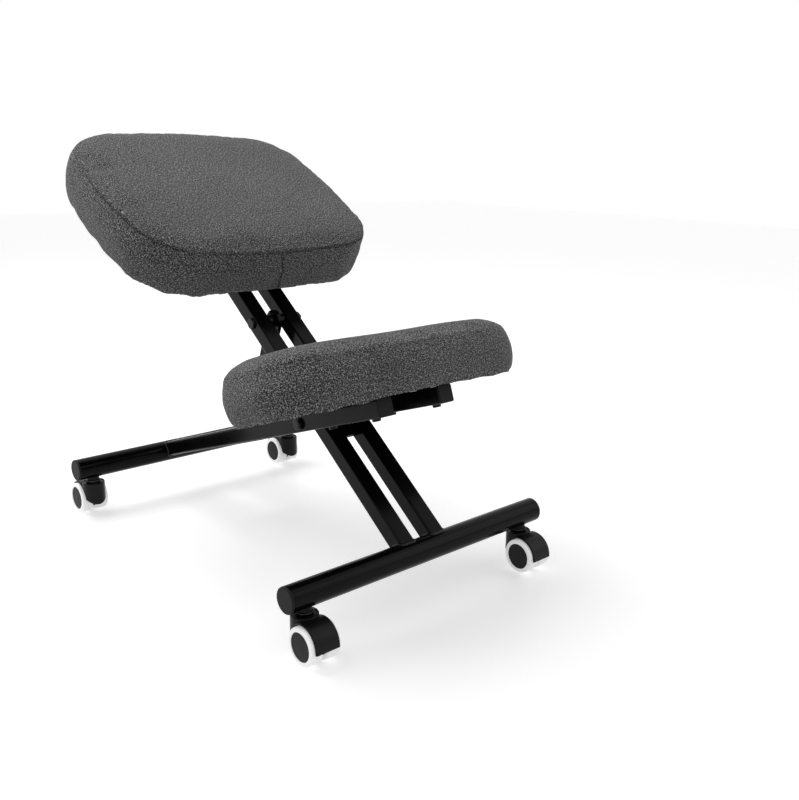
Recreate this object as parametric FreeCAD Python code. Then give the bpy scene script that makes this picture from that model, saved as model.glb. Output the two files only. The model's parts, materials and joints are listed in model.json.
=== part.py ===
"""Kneeling chair on four twin-wheel casters: a scissor frame of square tubes,
a tilted seat, a knee pad and a link with a slot that sets the height.

X runs across the chair, the sitter faces -Y, and Z is up. The model is drawn
with the front bar over Y = 0 and is moved at the end, so that its origin lies
on the floor at the middle of its outline.
"""
import FreeCAD, Part
import math
import os

from FreeCAD import Vector

# Clearances
running_gap = 0.05
side_gap = 0.3
fit_gap = 0.1

# Cross bars on the floor side
bar_diameter = 35.0
bar_wall = 1.5
bar_length = 444.0
bar_axis_height = 80.65
bar_spacing = 602.0
bar_cap_flange = 3.0
bar_cap_plug = 14.0

# Square tubes of the scissor frame
tube_size = 25.0
tube_wall = 1.5
tube_corner = 3.0
tube_lift = 2.7
post_angle = 37.0
post_length = 690.0
post_half_spacing = 27.25
arm_angle = 19.2
arm_end_inset = 34.5
arm_cap_thickness = 3.0
arm_cap_plug = 10.0
washer_thickness = 1.2
tie_plate_thickness = 5.0
tie_plate_width = 25.0
tie_plate_drop = 27.0

# Bolts of the frame
pivot_bolt_diameter = 10.0
pivot_head_diameter = 17.0
pivot_head_height = 6.0
pivot_washer_diameter = 21.0
pivot_sleeve_diameter = 18.0
nut_height = 8.0
bolt_end_length = 3.0

# Height link and the slotted lugs that hold its lower bolt
link_top_distance = 195.0
link_slot_distance = 241.0
link_thickness = 6.0
link_top_width = 34.0
link_low_width = 24.0
link_sleeve_diameter = 19.0
lug_thickness = 4.0
lug_height = 32.0
slot_play = 1.1
slot_travel = 27.0
cross_tube_size = 20.0
cross_tube_gap = 8.0
lug_front_margin = 14.0
lug_end_radius = 9.5

# Seat
seat_tilt = 28.7
seat_post_margin = 51.5
seat_lift = 13.0
seat_half_width = 207.0
seat_half_depth = 179.5
seat_side_radius = 600.0
seat_front_radius = 800.0
seat_corner_radius = 95.0
seat_height = 72.0
seat_crown = 9.0
seat_bulge = 9.0
seat_plate_width = 170.0
seat_plate_depth = 150.0
seat_plate_thickness = 3.0
seat_bolt_spacing = 120.0

# Knee pad
knee_pivot_margin = 6.58
knee_half_width = 212.0
knee_half_depth = 104.0
knee_side_radius = 290.0
knee_front_radius = 1100.0
knee_corner_radius = 74.0
knee_height = 64.5
knee_crown = 15.0
knee_bulge = 10.0
knee_bolt_margin = 20.5

# Boards, covers and board bolts
board_thickness = 12.0
board_inset = 14.0
cover_thickness = 1.0
board_bolt_diameter = 6.0
board_bolt_head_diameter = 12.0
board_bolt_head_height = 4.0
board_bolt_bite = 10.0

# Casters
stem_end_margin = 26.0
caster_trail = 20.0
wheel_diameter = 50.0
wheel_width = 18.0
wheel_inner_gap = 4.0
tread_thickness = 6.0
tread_rounding = 2.5
hub_recess = 1.0
axle_diameter = 6.0
axle_end_cover = 3.5
hood_clearance = 1.4
hood_wall = 2.2
hood_half_width = 18.0
hood_web = 5.2
hood_front_angle = 3.0
hood_top = 55.6
hood_top_round = 1.0
hood_top_groove = 1.2
tongue_bottom = 19.5
tongue_round = 12.0
axle_boss_diameter = 12.0
stem_diameter = 10.0
stem_bottom = 48.6
stem_top = 88.0
stem_ring_diameter = 23.0
stem_ring_thickness = 3.4
socket_diameter = 16.0
socket_flange_diameter = 19.0
socket_flange_height = 3.4
socket_top = 92.0

X_AXIS = Vector(1, 0, 0)
Y_AXIS = Vector(0, 1, 0)
Z_AXIS = Vector(0, 0, 1)

# Sizes that follow from the ones above
bar_radius = bar_diameter / 2
half_tube = tube_size / 2
post_inner_face = post_half_spacing - half_tube
post_outer_face = post_half_spacing + half_tube
arm_inner_face = post_outer_face + washer_thickness + side_gap
arm_half_spacing = arm_inner_face + half_tube
arm_outer_face = arm_half_spacing + half_tube
pivot_radius = pivot_bolt_diameter / 2
wheel_radius = wheel_diameter / 2
stem_half_spacing = bar_length / 2 - stem_end_margin
hood_rim_round = 0.9 * hood_wall
seat_place = post_length - seat_post_margin


def post_point(along, lift=0.0):
    """A point beside the posts' centre line, as (y, z)."""
    angle = math.radians(post_angle)
    up = tube_lift + lift
    y = along * math.cos(angle) - up * math.sin(angle)
    z = bar_axis_height + along * math.sin(angle) + up * math.cos(angle)
    return y, z


def arm_point(along, lift=0.0):
    """A point beside the arms' centre line, as (y, z), counted from the rear bar."""
    angle = math.radians(arm_angle)
    up = tube_lift + lift
    y = bar_spacing - along * math.cos(angle) + up * math.sin(angle)
    z = bar_axis_height + along * math.sin(angle) + up * math.cos(angle)
    return y, z


def crossing():
    """Distances along post and arm to the point where their centre lines cross."""
    post = math.radians(post_angle)
    arm = math.radians(arm_angle)
    post_y, post_z = post_point(0)
    arm_y, arm_z = arm_point(0)
    turn = math.sin(post + arm)
    run_y = arm_y - post_y
    run_z = arm_z - post_z
    along_post = (run_y * math.sin(arm) + run_z * math.cos(arm)) / turn
    along_arm = (run_y * math.sin(post) - run_z * math.cos(post)) / turn
    return along_post, along_arm


pivot_on_post, pivot_on_arm = crossing()
pivot_y, pivot_z = post_point(pivot_on_post)
link_top_y, link_top_z = post_point(pivot_on_post + link_top_distance)
slot_on_arm = pivot_on_arm - link_slot_distance
slot_y, slot_z = arm_point(slot_on_arm)
knee_place = pivot_on_arm + knee_pivot_margin + knee_half_depth
arm_length = knee_place + knee_half_depth - arm_end_inset
knee_bolt_spacing = 2 * (arm_length - knee_bolt_margin - knee_place)


def cylinder_x(radius, x_low, x_high, y, z):
    """A cylinder along X."""
    return Part.makeCylinder(radius, x_high - x_low, Vector(x_low, y, z), X_AXIS)


def cylinder_z(radius, z_low, z_high, x, y):
    """A cylinder along Z."""
    return Part.makeCylinder(radius, z_high - z_low, Vector(x, y, z_low), Z_AXIS)


def group(solids):
    """Separate solids that share one node."""
    return Part.makeCompound(list(solids))


def square_bar(length, size, corner):
    """A bar along +Y from the origin with rounded long edges."""
    bar = Part.makeBox(size, length, size, Vector(-size / 2, 0, -size / 2))
    long_edges = [edge for edge in bar.Edges if abs(edge.Length - length) < 1e-6
                  and abs(edge.tangentAt(edge.FirstParameter).y) > 0.99]
    return bar.makeFillet(corner, long_edges)


def square_tube(length, size, wall, corner):
    """A square tube along +Y from the origin."""
    outer = square_bar(length, size, corner)
    return outer.cut(square_bar(length, size - 2 * wall, corner - wall))


def tilt(shape, angle, x, y, z):
    """Turns a shape about the X axis and moves it."""
    place = FreeCAD.Placement(Vector(x, y, z), FreeCAD.Rotation(X_AXIS, angle))
    shape.Placement = place.multiply(shape.Placement)
    return shape


def lay_on_post(shape, x, along, lift=0.0):
    """Turns a shape drawn along +Y to the posts' slope."""
    return tilt(shape, post_angle, x, *post_point(along, lift))


def lay_on_arm(shape, x, along, lift=0.0):
    """Turns a shape drawn along +Y, towards the rear, to the arms' slope."""
    return tilt(shape, -arm_angle, x, *arm_point(along, lift))


def lay_on_seat(shape):
    """Moves a shape from the seat's own axes to the chair's."""
    return tilt(shape, seat_tilt, 0, *post_point(seat_place, seat_lift))


def lay_on_knee(shape):
    """Moves a shape from the knee pad's own axes to the chair's."""
    return lay_on_arm(shape, 0, knee_place, half_tube + cover_thickness)


def bolt_x(radius, head_radius, head_height, x_head, x_end, y, z, inward=1):
    """A bolt along X with its head beyond x_head; inward is the way the shank runs."""
    shank = cylinder_x(radius, min(x_head, x_end), max(x_head, x_end), y, z)
    start = x_head - head_height if inward > 0 else x_head
    head = cylinder_x(head_radius, start, start + head_height, y, z)
    rim = [edge for edge in head.Edges if edge.Closed
           and abs(edge.BoundBox.XMin - (x_head - inward * head_height)) < 1e-6]
    return shank.fuse(head.makeFillet(head_height * 0.45, rim)).removeSplitter()


def hexagon(across_flats, height):
    """A six-sided prism standing on the XY plane."""
    corner = across_flats / math.sqrt(3)
    points = [Vector(corner * math.cos(math.radians(60 * i)), corner * math.sin(math.radians(60 * i)), 0)
              for i in range(7)]
    return Part.Face(Part.makePolygon(points)).extrude(Vector(0, 0, height))


def nut_x(bolt_radius, across_flats, height, x_low, y, z):
    """A hexagon nut on an X bolt."""
    nut = hexagon(across_flats, height)
    nut.Placement = FreeCAD.Placement(Vector(x_low, y, z), FreeCAD.Rotation(Y_AXIS, 90))
    return nut.cut(cylinder_x(bolt_radius + fit_gap, x_low - 1, x_low + height + 1, y, z))


# Cross bars with their end caps, caster sockets and stems

def cross_bar(y):
    """A round tube across the chair, with a hole under it for each caster socket."""
    half = bar_length / 2
    bar = cylinder_x(bar_radius, -half, half, y, bar_axis_height)
    bar = bar.cut(cylinder_x(bar_radius - bar_wall, -half, half, y, bar_axis_height))
    for x in (-stem_half_spacing, stem_half_spacing):
        hole = cylinder_z(socket_diameter / 2 + fit_gap, bar_axis_height - bar_diameter,
                          bar_axis_height, x, y)
        bar = bar.cut(hole)
    return bar


def bar_cap(y, side):
    """A plastic cap with a plug inside the bar; side is -1 or 1."""
    face = side * bar_length / 2
    rim_x = face + side * bar_cap_flange
    flange = cylinder_x(bar_radius, min(face, rim_x), max(face, rim_x), y, bar_axis_height)
    outer_rim = [edge for edge in flange.Edges if edge.Closed
                 and abs(edge.BoundBox.XMin - rim_x) < 1e-6]
    flange = flange.makeFillet(bar_cap_flange * 0.6, outer_rim)
    plug_x = face - side * bar_cap_plug
    plug = cylinder_x(bar_radius - bar_wall - fit_gap, min(face, plug_x), max(face, plug_x),
                      y, bar_axis_height)
    return flange.fuse(plug).removeSplitter()


def caster_socket(x, y):
    """A bushing in the bar with a flange that sits under it."""
    bar_bottom = bar_axis_height - bar_radius
    flange = cylinder_z(socket_flange_diameter / 2, bar_bottom - socket_flange_height,
                        bar_axis_height, x, y)
    flange = flange.cut(cylinder_x(bar_radius, x - bar_diameter, x + bar_diameter, y, bar_axis_height))
    body = cylinder_z(socket_diameter / 2, bar_bottom - socket_flange_height, socket_top, x, y)
    bore = cylinder_z(stem_diameter / 2 + running_gap, 0, stem_top + 1, x, y)
    return flange.fuse(body).removeSplitter().cut(bore)


def caster_stem(x, y):
    """A turned pin with the bright ring that covers the top of the hood."""
    ring_top = bar_axis_height - bar_radius - socket_flange_height
    pin = cylinder_z(stem_diameter / 2, stem_bottom, stem_top, x, y)
    ring = cylinder_z(stem_ring_diameter / 2, ring_top - stem_ring_thickness, ring_top, x, y)
    rims = [edge for edge in ring.Edges if edge.Closed]
    return pin.fuse(ring.makeFillet(stem_ring_thickness * 0.3, rims)).removeSplitter()


# Casters

def wheel_space(x_low, x_high, y):
    """The room that a wheel needs inside the hood."""
    return cylinder_x(wheel_radius + hood_clearance, x_low, x_high, y, wheel_radius)


def caster_hood(x, y, trail):
    """A hood over both wheels; trail is -1 or 1, the way along Y that the wheels trail."""
    axle_y = caster_trail
    outer = wheel_radius + hood_clearance + hood_wall
    half = hood_half_width
    shell = cylinder_x(outer, -half, half, axle_y, wheel_radius)
    shell = shell.makeFillet(hood_rim_round, [edge for edge in shell.Edges if edge.Closed])
    hood = shell.common(above_wheels(half, 2 * outer)).fuse(hood_tongue(half))
    hood = hood.fuse(cylinder_x(axle_boss_diameter / 2, -hood_web / 2, hood_web / 2, axle_y, wheel_radius))
    for side in (-1, 1):
        low = min(side * hood_web / 2, side * (half + 1))
        high = max(side * hood_web / 2, side * (half + 1))
        hood = hood.cut(wheel_space(low, high, axle_y))
    hood = hood.cut(cylinder_z(stem_diameter / 2 + running_gap, stem_bottom - side_gap, hood_top + 1, 0, 0))
    hood = hood.cut(cylinder_x(axle_diameter / 2 + fit_gap / 2, -half, half, axle_y, wheel_radius))
    hood = hood.removeSplitter()
    if trail < 0:
        hood.rotate(Vector(0, 0, 0), Z_AXIS, 180)
    hood.translate(Vector(x, y, 0))
    return hood


def above_wheels(half, reach):
    """The block behind the stem's axis and over the axle that the round shell is kept in."""
    drop = reach * math.tan(math.radians(hood_front_angle))
    corners = [(0, wheel_radius), (caster_trail, wheel_radius), (caster_trail + reach, wheel_radius - drop),
               (caster_trail + reach, wheel_radius + reach), (0, wheel_radius + reach), (0, wheel_radius)]
    side = Part.makePolygon([Vector(-half, y, z) for y, z in corners])
    return Part.Face(side).extrude(Vector(2 * half, 0, 0))


def hood_tongue(half):
    """The upright round front of the hood about the stem, with a groove on top and a round lower end."""
    tongue = cylinder_z(half, tongue_bottom, hood_top, 0, 0)
    rim = [edge for edge in tongue.Edges if edge.Closed and edge.BoundBox.ZMin > hood_top - 1e-6]
    tongue = tongue.makeFillet(hood_top_round, rim)
    groove = cylinder_z(half - hood_wall, hood_top - hood_top_groove, hood_top + 1, 0, 0)
    tongue = tongue.cut(groove.cut(cylinder_z(stem_ring_diameter / 2 + 1, 0, hood_top + 1, 0, 0)))
    wide = half + 1
    top = hood_top + 1
    sides_end = tongue_bottom + tongue_round
    outline = Part.Wire([
        Part.makeLine(Vector(wide, -wide, top), Vector(-wide, -wide, top)),
        Part.makeLine(Vector(-wide, -wide, top), Vector(-wide, -wide, sides_end)),
        Part.Arc(Vector(-wide, -wide, sides_end), Vector(0, -wide, tongue_bottom),
                 Vector(wide, -wide, sides_end)).toShape(),
        Part.makeLine(Vector(wide, -wide, sides_end), Vector(wide, -wide, top))])
    return tongue.common(Part.Face(outline).extrude(Vector(0, 2 * wide, 0)))


def caster_axle(x, y, trail):
    """The pin through the hood's web that carries both wheels."""
    reach = wheel_inner_gap + wheel_width - axle_end_cover
    return cylinder_x(axle_diameter / 2, x - reach, x + reach, y + trail * caster_trail, wheel_radius)


def wheel_profile(points):
    """A ring turned about the X axis from a closed outline in the XY plane."""
    outline = Part.Face(Part.makePolygon(points + [points[0]]))
    return outline.revolve(Vector(0, 0, 0), X_AXIS, 360)


def wheel_place(shape, x, y, trail, side):
    """Moves a wheel drawn at its inner face to one side of a caster."""
    if side < 0:
        shape.rotate(Vector(0, 0, 0), Z_AXIS, 180)
    shape.translate(Vector(x + side * wheel_inner_gap, y + trail * caster_trail, wheel_radius))
    return shape


def wheel_tread(x, y, trail, side):
    """The soft tyre ring of one wheel."""
    inner = wheel_radius - tread_thickness
    ring = Part.makeCylinder(wheel_radius, wheel_width, Vector(0, 0, 0), X_AXIS)
    rims = [edge for edge in ring.Edges if edge.Closed]
    ring = ring.makeFillet(tread_rounding, rims)
    ring = ring.cut(Part.makeCylinder(inner, wheel_width, Vector(0, 0, 0), X_AXIS))
    return wheel_place(ring, x, y, trail, side)


def wheel_hub(x, y, trail, side):
    """The disc inside the tyre, with a blind bore for the axle."""
    outer = wheel_radius - tread_thickness
    face = wheel_width - hub_recess
    bore = axle_diameter / 2 + running_gap
    depth = wheel_width - axle_end_cover + side_gap
    hub = wheel_profile([
        Vector(0.5, bore, 0), Vector(depth, bore, 0), Vector(depth, 0, 0), Vector(face + 0.6, 0, 0),
        Vector(face, outer * 0.8, 0), Vector(face, outer, 0), Vector(0.5, outer, 0)])
    return wheel_place(hub, x, y, trail, side)


# Scissor frame

def post(side):
    """A tube from the front bar up and back to the seat plate; side is -1 or 1."""
    x = side * post_half_spacing
    tube = lay_on_post(square_tube(post_length, tube_size, tube_wall, tube_corner), x, 0)
    tube = tube.cut(cylinder_x(bar_radius, x - tube_size, x + tube_size, 0, bar_axis_height))
    tube = tube.cut(above_seat_plate())
    for y, z in ((pivot_y, pivot_z), (link_top_y, link_top_z)):
        tube = tube.cut(cylinder_x(pivot_radius + running_gap, x - tube_size, x + tube_size, y, z))
    return tube


def above_seat_plate():
    """The half space over the underside of the seat plate, as a large block."""
    depth = cover_thickness + seat_plate_thickness
    reach = 2 * post_length
    block = Part.makeBox(reach, reach, reach, Vector(-reach / 2, -reach / 2, -depth))
    return lay_on_seat(block)


def arm(side):
    """A tube from the rear bar forward and up to the knee pad; side is -1 or 1."""
    x = side * arm_half_spacing
    tube = square_tube(arm_length, tube_size, tube_wall, tube_corner)
    tube.translate(Vector(0, -arm_length, 0))
    tube = lay_on_arm(tube, x, 0)
    tube = tube.cut(cylinder_x(bar_radius, x - tube_size, x + tube_size, bar_spacing, bar_axis_height))
    tube = tube.cut(cylinder_x(pivot_radius + fit_gap / 2, x - tube_size, x + tube_size, pivot_y, pivot_z))
    for hole_x, along in board_bolt_places():
        if hole_x * side > 0:
            tube = tube.cut(knee_bolt_hole(hole_x, along))
    return tube


def arm_cap(side):
    """A plastic cap on the front end of an arm, with a plug inside the tube."""
    cap = square_bar(arm_cap_thickness, tube_size, tube_corner)
    front = [edge for edge in cap.Edges if edge.BoundBox.YMax < 1e-6]
    cap = cap.makeFillet(arm_cap_thickness * 0.4, front)
    plug = square_bar(arm_cap_plug, tube_size - 2 * (tube_wall + fit_gap), tube_wall)
    plug.translate(Vector(0, arm_cap_thickness, 0))
    cap = cap.fuse(plug).removeSplitter()
    cap.translate(Vector(0, -arm_cap_thickness, 0))
    return lay_on_arm(cap, side * arm_half_spacing, arm_length)


def post_tie_plate():
    """A flat bar welded between the posts just below the pivot."""
    width = 2 * post_inner_face
    plate = Part.makeBox(width, tie_plate_width, tie_plate_thickness,
                         Vector(-width / 2, -tie_plate_width / 2, -tie_plate_thickness / 2))
    return lay_on_post(plate, 0, pivot_on_post - tie_plate_drop)


def pivot_sleeve():
    """A spacer on the pivot bolt between the posts."""
    sleeve = cylinder_x(pivot_sleeve_diameter / 2, -post_inner_face, post_inner_face, pivot_y, pivot_z)
    bore = cylinder_x(pivot_radius + running_gap, -post_inner_face, post_inner_face, pivot_y, pivot_z)
    return sleeve.cut(bore)


def pivot_washer(side):
    """A thin washer between an arm and a post, against the arm."""
    inner = side * (arm_inner_face - washer_thickness)
    outer = side * arm_inner_face
    low, high = min(inner, outer), max(inner, outer)
    washer = cylinder_x(pivot_washer_diameter / 2, low, high, pivot_y, pivot_z)
    return washer.cut(cylinder_x(pivot_radius + fit_gap / 2, low, high, pivot_y, pivot_z))


def pivot_bolt():
    """The bolt through both arms and both posts."""
    end = arm_outer_face + nut_height + bolt_end_length
    return bolt_x(pivot_radius, pivot_head_diameter / 2, pivot_head_height, -arm_outer_face, end,
                  pivot_y, pivot_z)


def link_top_bolt():
    """The bolt through both posts that carries the top of the link."""
    end = post_outer_face + nut_height * 0.6
    return bolt_x(pivot_radius, pivot_head_diameter / 2, pivot_head_height * 0.6, -post_outer_face, end,
                  link_top_y, link_top_z)


def link_end_places():
    """The middle of the link's two eyes in the YZ plane."""
    return (link_top_y, link_top_z, link_top_width / 2), (slot_y, slot_z, link_low_width / 2)


def height_link():
    """A flat bar with a welded sleeve at the top and a hole at the bottom."""
    (y1, z1, r1), (y2, z2, r2) = link_end_places()
    length = math.hypot(y2 - y1, z2 - z1)
    along = math.atan2(z2 - z1, y2 - y1)
    open_angle = math.acos((r1 - r2) / length)
    half = link_thickness / 2
    start, end = {}, {}
    for side in (-1, 1):
        angle = along + side * open_angle
        start[side] = Vector(-half, y1 + r1 * math.cos(angle), z1 + r1 * math.sin(angle))
        end[side] = Vector(-half, y2 + r2 * math.cos(angle), z2 + r2 * math.sin(angle))
    top = Vector(-half, y1 - r1 * math.cos(along), z1 - r1 * math.sin(along))
    bottom = Vector(-half, y2 + r2 * math.cos(along), z2 + r2 * math.sin(along))
    outline = Part.Wire([Part.Arc(start[1], top, start[-1]).toShape(),
                         Part.makeLine(start[-1], end[-1]),
                         Part.Arc(end[-1], bottom, end[1]).toShape(),
                         Part.makeLine(end[1], start[1])])
    plate = Part.Face(outline).extrude(Vector(link_thickness, 0, 0))
    sleeve_half = post_inner_face - side_gap
    sleeve = cylinder_x(link_sleeve_diameter / 2, -sleeve_half, sleeve_half, y1, z1)
    link = plate.fuse(sleeve)
    link = link.cut(cylinder_x(pivot_radius + running_gap, -post_inner_face, post_inner_face, y1, z1))
    link = link.cut(cylinder_x(pivot_radius + fit_gap / 2, -half, half, y2, z2))
    return link.removeSplitter()


def slot_lug(side):
    """A plate beside the link with the slot that the lower bolt slides in."""
    front = slot_travel + pivot_radius + lug_front_margin
    back = slot_travel + pivot_radius + cross_tube_gap
    x_low = link_thickness / 2 + side_gap
    lug = Part.makeBox(lug_thickness, front + back, lug_height, Vector(x_low, -front, -lug_height / 2))
    corners = [edge for edge in lug.Edges if edge.BoundBox.YMax < -front + 1e-6
               and abs(edge.tangentAt(edge.FirstParameter).x) > 0.99]
    lug = lug.makeFillet(lug_end_radius, corners)
    radius = pivot_radius + slot_play
    low, high = x_low - 1, x_low + lug_thickness + 1
    slot = cylinder_x(radius, low, high, -slot_travel, 0)
    slot = slot.fuse(cylinder_x(radius, low, high, slot_travel, 0))
    slot = slot.fuse(Part.makeBox(high - low, 2 * slot_travel, 2 * radius,
                                  Vector(low, -slot_travel, -radius)))
    lug = lug.cut(slot)
    if side < 0:
        lug = lug.mirror(Vector(0, 0, 0), X_AXIS)
    return lay_on_arm(lug, 0, slot_on_arm)


def arm_cross_tube():
    """A square tube between the arms that carries the slotted lugs."""
    tube = square_tube(2 * arm_inner_face, cross_tube_size, tube_wall, tube_wall + 0.5)
    tube.rotate(Vector(0, 0, 0), Z_AXIS, -90)
    tube.translate(Vector(-arm_inner_face, 0, 0))
    back = slot_travel + pivot_radius + cross_tube_gap
    return lay_on_arm(tube, 0, slot_on_arm - back - cross_tube_size / 2)


def slot_bolt():
    """The bolt through the slotted lugs and the lower end of the link."""
    face = link_thickness / 2 + side_gap + lug_thickness + side_gap
    end = face + nut_height + bolt_end_length
    return bolt_x(pivot_radius, pivot_head_diameter / 2, pivot_head_height, -face, end, slot_y, slot_z)


# Cushions, boards and what holds them

def pad_outline(half_width, half_depth, side_radius, front_radius, corner_radius, inset, height):
    """A closed outline of four shallow side arcs joined by four corner arcs."""
    width = half_width - inset
    depth = half_depth - inset
    corner = max(corner_radius - inset, 8.0)
    side_centre = width - side_radius
    front_centre = depth - front_radius
    reach_side = side_radius - corner
    reach_front = front_radius - corner
    span = math.hypot(side_centre, front_centre)
    along = (reach_side ** 2 - reach_front ** 2 + span ** 2) / (2 * span)
    off = math.sqrt(reach_side ** 2 - along ** 2)
    toward_x = -side_centre / span
    toward_y = front_centre / span
    centre_x = side_centre + along * toward_x + off * -toward_y
    centre_y = along * toward_y + off * toward_x
    side_x = side_centre + (centre_x - side_centre) * side_radius / reach_side
    side_y = centre_y * side_radius / reach_side
    front_x = centre_x * front_radius / reach_front
    front_y = front_centre + (centre_y - front_centre) * front_radius / reach_front
    middle = math.radians(45)
    bend_x = centre_x + corner * math.cos(middle)
    bend_y = centre_y + corner * math.sin(middle)
    arcs = []

    def arc(a, b, c):
        points = [Vector(p[0], p[1], height) for p in (a, b, c)]
        arcs.append(Part.Arc(*points).toShape())

    arc((side_x, -side_y), (width, 0), (side_x, side_y))
    arc((side_x, side_y), (bend_x, bend_y), (front_x, front_y))
    arc((front_x, front_y), (0, depth), (-front_x, front_y))
    arc((-front_x, front_y), (-bend_x, bend_y), (-side_x, side_y))
    arc((-side_x, side_y), (-width, 0), (-side_x, -side_y))
    arc((-side_x, -side_y), (-bend_x, -bend_y), (-front_x, -front_y))
    arc((-front_x, -front_y), (0, -depth), (front_x, -front_y))
    arc((front_x, -front_y), (bend_x, -bend_y), (side_x, -side_y))
    return Part.Wire(arcs)


def seat_outline(inset, height):
    return pad_outline(seat_half_width, seat_half_depth, seat_side_radius, seat_front_radius,
                       seat_corner_radius, inset, height)


def knee_outline(inset, height):
    return pad_outline(knee_half_width, knee_half_depth, knee_side_radius, knee_front_radius,
                       knee_corner_radius, inset, height)


def cushion(outline, height, crown, bulge, half_depth):
    """A boxed cushion: sides drawn in at both seams, a crowned top, room for the board."""
    side_sections = [(0.5 * bulge, 0.0), (-0.6 * bulge, 0.22 * height), (-bulge, 0.5 * height),
                     (-0.7 * bulge, 0.78 * height), (0.0, height)]
    top_sections = [(0.0, height), (0.1 * half_depth, height + 0.42 * crown),
                    (0.3 * half_depth, height + 0.8 * crown), (0.6 * half_depth, height + crown)]
    body = Part.makeLoft([outline(inset, level) for inset, level in side_sections], True, False)
    top = Part.makeLoft([outline(inset, level) for inset, level in top_sections], True, False)
    recess = Part.Face(outline(board_inset - side_gap, -1)).extrude(
        Vector(0, 0, board_thickness + side_gap + 1))
    return body.fuse(top).cut(recess)


def board(outline, holes):
    """A plywood board with bolt holes."""
    sheet = Part.Face(outline(board_inset, 0)).extrude(Vector(0, 0, board_thickness))
    for x, y in holes:
        sheet = sheet.cut(cylinder_z(board_bolt_diameter / 2 + fit_gap, -1, board_bolt_bite + 1, x, y))
    return sheet


def under_cover(outline, holes):
    """The thin cloth under a board."""
    sheet = Part.Face(outline(board_inset, -cover_thickness)).extrude(Vector(0, 0, cover_thickness))
    for x, y in holes:
        sheet = sheet.cut(cylinder_z(board_bolt_diameter / 2 + fit_gap, -cover_thickness - 1, 1, x, y))
    return sheet


def board_bolt(x, y, under):
    """A bolt into a board from below; under is the depth of what it passes through first."""
    head_top = -under
    shank = cylinder_z(board_bolt_diameter / 2, head_top, board_bolt_bite, x, y)
    head = cylinder_z(board_bolt_head_diameter / 2, head_top - board_bolt_head_height, head_top, x, y)
    rim = [edge for edge in head.Edges if edge.Closed
           and abs(edge.BoundBox.ZMax - (head_top - board_bolt_head_height)) < 1e-6]
    return shank.fuse(head.makeFillet(board_bolt_head_height * 0.4, rim)).removeSplitter()


def seat_bolt_places():
    half = seat_bolt_spacing / 2
    return [(x, y) for x in (-half, half) for y in (-half, half)]


def board_bolt_places():
    """Knee bolts as (x, y) in the knee pad's own axes."""
    half = knee_bolt_spacing / 2
    return [(x, y) for x in (-arm_half_spacing, arm_half_spacing) for y in (-half, half)]


def knee_bolt_hole(x, y):
    reach = tube_size + cover_thickness
    hole = cylinder_z(board_bolt_diameter / 2 + fit_gap, -reach - 1, 1, x, y)
    return lay_on_knee(hole)


def seat_plate():
    """The steel plate welded to the tops of the posts."""
    depth = cover_thickness + seat_plate_thickness
    plate = Part.makeBox(seat_plate_width, seat_plate_depth, seat_plate_thickness,
                         Vector(-seat_plate_width / 2, -seat_plate_depth / 2, -depth))
    corners = [edge for edge in plate.Edges if abs(edge.Length - seat_plate_thickness) < 1e-6]
    plate = plate.makeFillet(board_inset, corners)
    for x, y in seat_bolt_places():
        plate = plate.cut(cylinder_z(board_bolt_diameter / 2 + fit_gap, -depth - 1, 1, x, y))
    return plate


# All nodes by name

def frame_nodes():
    half_end = arm_outer_face
    post_face = post_outer_face
    clamp_face = link_thickness / 2 + side_gap + lug_thickness + side_gap
    across = pivot_head_diameter
    low_nut = nut_height * 0.6
    return {
        "front_bar": cross_bar(0),
        "rear_bar": cross_bar(bar_spacing),
        "front_bar_caps": group(bar_cap(0, side) for side in (-1, 1)),
        "rear_bar_caps": group(bar_cap(bar_spacing, side) for side in (-1, 1)),
        "post_left": post(-1),
        "post_right": post(1),
        "post_tie_plate": post_tie_plate(),
        "arm_left": arm(-1),
        "arm_right": arm(1),
        "arm_front_caps": group(arm_cap(side) for side in (-1, 1)),
        "arm_cross_tube": arm_cross_tube(),
        "slot_lugs": group(slot_lug(side) for side in (-1, 1)),
        "pivot_bolt": pivot_bolt(),
        "pivot_nut": nut_x(pivot_radius, across, nut_height, half_end, pivot_y, pivot_z),
        "pivot_washers": group(pivot_washer(side) for side in (-1, 1)),
        "pivot_sleeve": pivot_sleeve(),
        "link_top_bolt": link_top_bolt(),
        "link_top_nut": nut_x(pivot_radius, across, low_nut, post_face, link_top_y, link_top_z),
        "height_link": height_link(),
        "slot_bolt": slot_bolt(),
        "slot_nut": nut_x(pivot_radius, across, nut_height, clamp_face, slot_y, slot_z),
    }


def cushion_nodes():
    seat_holes = seat_bolt_places()
    knee_holes = board_bolt_places()
    seat_under = cover_thickness + seat_plate_thickness
    knee_under = cover_thickness + tube_size
    nodes = {
        "seat_plate": seat_plate(),
        "seat_board": board(seat_outline, seat_holes),
        "seat_cover": under_cover(seat_outline, seat_holes),
        "seat_cushion": cushion(seat_outline, seat_height, seat_crown, seat_bulge, seat_half_depth),
        "seat_bolts": group(board_bolt(x, y, seat_under) for x, y in seat_holes),
    }
    for shape in nodes.values():
        lay_on_seat(shape)
    knee = {
        "knee_board": board(knee_outline, knee_holes),
        "knee_cover": under_cover(knee_outline, knee_holes),
        "knee_cushion": cushion(knee_outline, knee_height, knee_crown, knee_bulge, knee_half_depth),
        "knee_bolts": group(board_bolt(x, y, knee_under) for x, y in knee_holes),
    }
    for shape in knee.values():
        lay_on_knee(shape)
    nodes.update(knee)
    return nodes


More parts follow.
